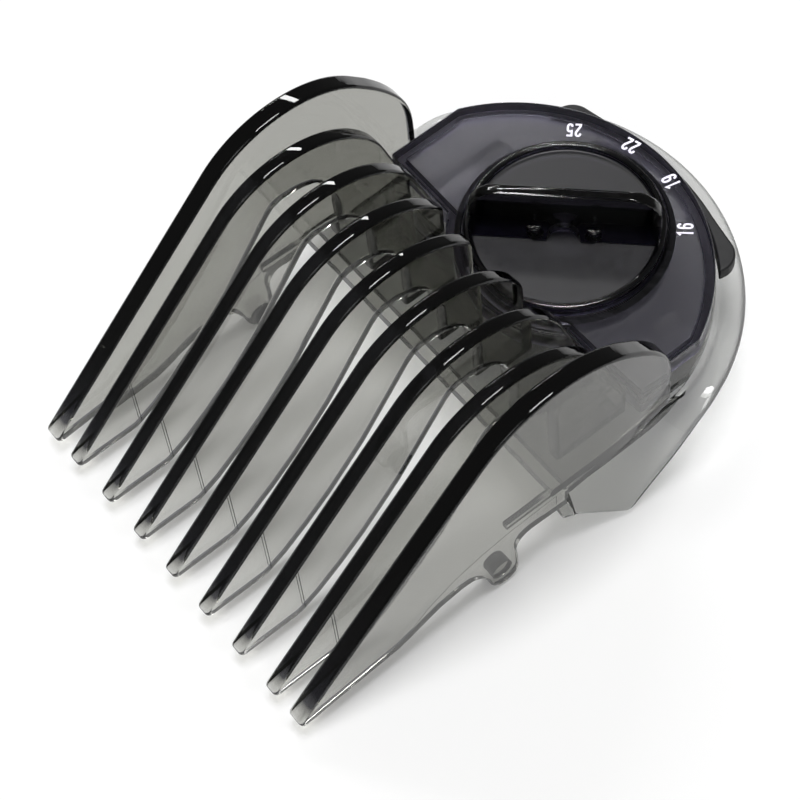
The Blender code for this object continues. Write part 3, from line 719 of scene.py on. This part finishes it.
def brim_section(y):
    """Closed section across the brim: crown, half-round rim, underside, root in the sheet."""
    crest = brim_crest_height(y) if y < -18.0 else eased(brim_crest_height, y, 1.0)
    edge = eased(brim_edge_height, y, 0.8) + 0.02
    outer, inner, root = BRIM_OUTER, (BRIM_INNER, SHEET_TOP - 0.17), (BRIM_INNER - 0.5, 0.3)
    if y < BRIM_CORNER_Y:
        outer -= 2.2 * (BRIM_CORNER_Y - y) / (BRIM_CORNER_Y - BRIM_FRONT_Y)
    if y < STEP_Y:
        inner, root = (24.2, -1.5), (23.4, -1.7)
    crown = [inner, (BRIM_CREST, crest)]
    run = math.hypot(outer - BRIM_CREST, edge - crest)
    steps = 8
    for k in range(1, steps + 1):
        t = k / steps * (1.0 - BRIM_THICKNESS / 2 / run)
        bulge = 0.12 * math.sin(math.pi * t) * (outer - BRIM_CREST) / 3.2
        crown.append((BRIM_CREST + (outer - BRIM_CREST) * t + bulge, crest + (edge - crest) * t))
    end_r, end_z = crown[-1]
    size = math.hypot(end_r - BRIM_CREST, end_z - crest)
    nr, nz = (crest - end_z) / size, (end_r - BRIM_CREST) / size
    under = [(r - nr * BRIM_THICKNESS, z - nz * BRIM_THICKNESS) for r, z in crown[2:-1]]
    half = BRIM_THICKNESS / 2
    start = math.degrees(math.atan2(nz, nr))
    rim = arc(end_r - nr * half, end_z - nz * half, half, start, start - 180.0, 8)
    return crown[:-1] + rim + under[::-1] + [root]


def make_brim():
    straight = [-21.8, -21.4, -21.0, -20.7, -20.46, -20.4, -20.0]
    straight += [-19.3 + 0.6 * k for k in range(18)]
    stations = [(1.0, 0.0, y) for y in straight]
    turns = 120
    for i in range(turns + 1):
        angle = math.pi * i / turns
        stations.append((math.cos(angle), math.sin(angle), REAR_CENTRE_Y + BRIM_OUTER * math.sin(angle)))
    stations += [(-1.0, 0.0, y) for y in straight[::-1]]
    loops = []
    for nx, ny, y in stations:
        centre_y = REAR_CENTRE_Y if ny > 0 else y
        loops.append([(nx * r, centre_y + ny * r, z) for r, z in brim_section(y)])
    return stack("brim", loops)


def slot_cut(side):
    """Slot for a guide hook, with room for its foot below and for the saddle's travel."""
    wide, narrow = 1.8, 0.9
    section = [(-wide, -0.9), (wide, -0.9), (wide, 0.75), (narrow, 0.75), (narrow, 2.6), (-narrow, 2.6),
               (-narrow, 0.75), (-wide, 0.75)]
    loops = []
    for y in (-9.3, HOOK_BACK_Y + 0.3):
        loops.append([(side * HOOK_X + x, y, z) for x, z in section])
    return stack("slot", loops)


def make_saddle(material):
    outline = rear_outline(SHEET_OFFSET, SHEET_OFFSET + 0.01, SHEET_FRONT_Y, 120)
    saddle = prism("sheet", outline, 0.0, SHEET_TOP)
    combined(saddle, make_brim(), "UNION")
    combined(saddle, joined("slots", [slot_cut(-1), slot_cut(1)]), "DIFFERENCE")
    pin = turned("pin_hole", [(1.8, -1.0), (1.8, 0.9), (1.1, 0.95), (1.1, 3.0)], -7.0, -1.0, 40)
    combined(saddle, pin, "DIFFERENCE")
    return finished(cleaned(saddle), "saddle_shell", material, "slide", "saddle")


def make_thumb_pad(material):
    low_corner, high_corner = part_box("thumb_pad")
    end = arc(12.6, 11.9, 2.7, 80.0, 0.0, 14)
    side = [(0.0, 16.6), (1.8, 16.54), (3.5, 16.4), (5.0, 16.2), (6.5, 15.95), (8.0, 15.63), (9.6, 15.25)]
    side += end
    reach = math.degrees(math.asin(15.1 / 24.45))
    inner = arc(0.0, REAR_CENTRE_Y, 24.45, 90.0 - reach, 90.0 + reach, 48)
    outline = side + inner + [(-x, y) for x, y in side[:0:-1]]
    pad = prism("pad", outline, low_corner[2] / MM, high_corner[2] / MM)
    rounded(pad, 0.3, 4, 60.0)
    return finished(cleaned(pad), "thumb_rest", material, "slide", "thumb_pad")


# --- stage -------------------------------------------------------------------
def make_camera():
    camera = bpy.data.cameras.new("camera")
    camera.lens = CAMERA_LENS
    camera.sensor_width = 36.0
    camera.shift_x, camera.shift_y = CAMERA_SHIFT
    camera.clip_start = 0.01
    camera.clip_end = 20.0
    holder = new_piece("camera", camera)
    holder.location = Vector(CAMERA_PLACE) * MM
    holder.rotation_euler = [math.radians(angle) for angle in CAMERA_TURN]
    bpy.context.scene.camera = holder


def make_floor(height):
    half = FLOOR_HALF
    corners = [(x, y, height) for x, y in ((-half, -half), (half, -half), (half, half), (-half, half))]
    mesh = bpy.data.meshes.new("floor")
    mesh.from_pydata(corners, [], [(0, 1, 2, 3)])
    floor = new_piece("floor", mesh)
    material = bpy.data.materials.new("floor")
    material.use_nodes = True
    shader = material.node_tree.nodes["Principled BSDF"]
    shader.inputs["Base Color"].default_value = (0.80, 0.80, 0.80, 1.0)
    shader.inputs["Roughness"].default_value = 0.8
    shader.inputs["Emission Color"].default_value = (1.0, 1.0, 1.0, 1.0)
    shader.inputs["Emission Strength"].default_value = 0.15
    mesh.materials.append(material)


def softbox(name, place, size, power):
    light = bpy.data.lights.new(name, "AREA")
    light.shape = "RECTANGLE"
    light.size, light.size_y = size
    light.energy = power
    holder = new_piece(name, light)
    holder.location = place
    aim = Vector(LIGHT_AIM) - Vector(place)
    holder.rotation_euler = aim.to_track_quat("-Z", "Y").to_euler()


def make_lights():
    world = bpy.data.worlds.new("world")
    bpy.context.scene.world = world
    world.use_nodes = True
    world.node_tree.nodes["Background"].inputs["Color"].default_value = (1.0, 1.0, 1.0, 1.0)
    world.node_tree.nodes["Background"].inputs["Strength"].default_value = WORLD_STRENGTH
    for settings in SOFTBOXES:
        softbox(*settings)
    bpy.context.scene.view_settings.view_transform = "Standard"
    bpy.context.scene.cycles.max_bounces = LIGHT_BOUNCES
    bpy.context.scene.cycles.transmission_bounces = LIGHT_BOUNCES


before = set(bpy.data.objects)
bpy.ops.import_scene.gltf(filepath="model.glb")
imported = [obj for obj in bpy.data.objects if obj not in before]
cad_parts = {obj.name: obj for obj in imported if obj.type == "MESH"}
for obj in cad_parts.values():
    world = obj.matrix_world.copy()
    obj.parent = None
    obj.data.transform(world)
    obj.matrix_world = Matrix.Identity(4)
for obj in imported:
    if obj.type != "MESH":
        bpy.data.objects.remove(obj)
cad_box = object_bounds()
make_camera()

smoke_clear = clear_plastic("smoke_clear", (0.09, 0.09, 0.02), 310.0, (0.70, 0.70, 0.69))
# Painted shade on the narrow edges of the teeth and walls: near black in the base colour.
paint_edge_shade(smoke_clear, (0.06, 0.06, 0.08))
dark_smoke = clear_plastic("dark_smoke", (0.10, 0.08, 0.20), 700.0, (0.60, 0.60, 0.63), 0.015,
                           (0.03, 0.08), (5.85, 0.32))
knob_smoke = clear_plastic("knob_smoke", (0.10, 0.08, 0.20), 1500.0, (0.30, 0.30, 0.32), 0.010,
                           (0.06, 0.16), (7.35, 0.28))
pale_smoke = clear_plastic("pale_smoke", (0.08, 0.09, 0.06), 430.0, (0.80, 0.80, 0.80))
cam_smoke = clear_plastic("cam_smoke", (0.10, 0.08, 0.20), 700.0, (0.60, 0.60, 0.62), 0.02, (0.25, 0.40))
steel = solid_finish("spring_steel", (0.55, 0.55, 0.57), (0.22, 0.38), 0.002, 1.0)
soft_black = solid_finish("soft_grip", (0.004, 0.004, 0.005), (0.50, 0.65), 0.01)
ink_with_painted_glow = solid_finish("numeral_ink_painted_glow", (0.72, 0.70, 0.80), (0.45, 0.60), 0.001)
ink_glow_shader = ink_with_painted_glow.node_tree.nodes["Principled BSDF"]
# Painted light: this emission makes the printed numerals glow brighter than the lamps light them.
ink_glow_shader.inputs["Emission Color"].default_value = (0.80, 0.78, 0.90, 1.0)
ink_glow_shader.inputs["Emission Strength"].default_value = 0.45

make_comb(smoke_clear)
make_plate(dark_smoke)
make_numerals(ink_with_painted_glow)
make_dial(knob_smoke)
make_saddle(pale_smoke)
make_thumb_pad(soft_black)
for node, material in (("cam_disc", cam_smoke), ("detent_spring", steel), ("follower_pin", steel)):
    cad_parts[node].data.materials.clear()
    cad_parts[node].data.materials.append(material)

make_floor(cad_box[0][2] - FLOOR_GAP)
make_lights()
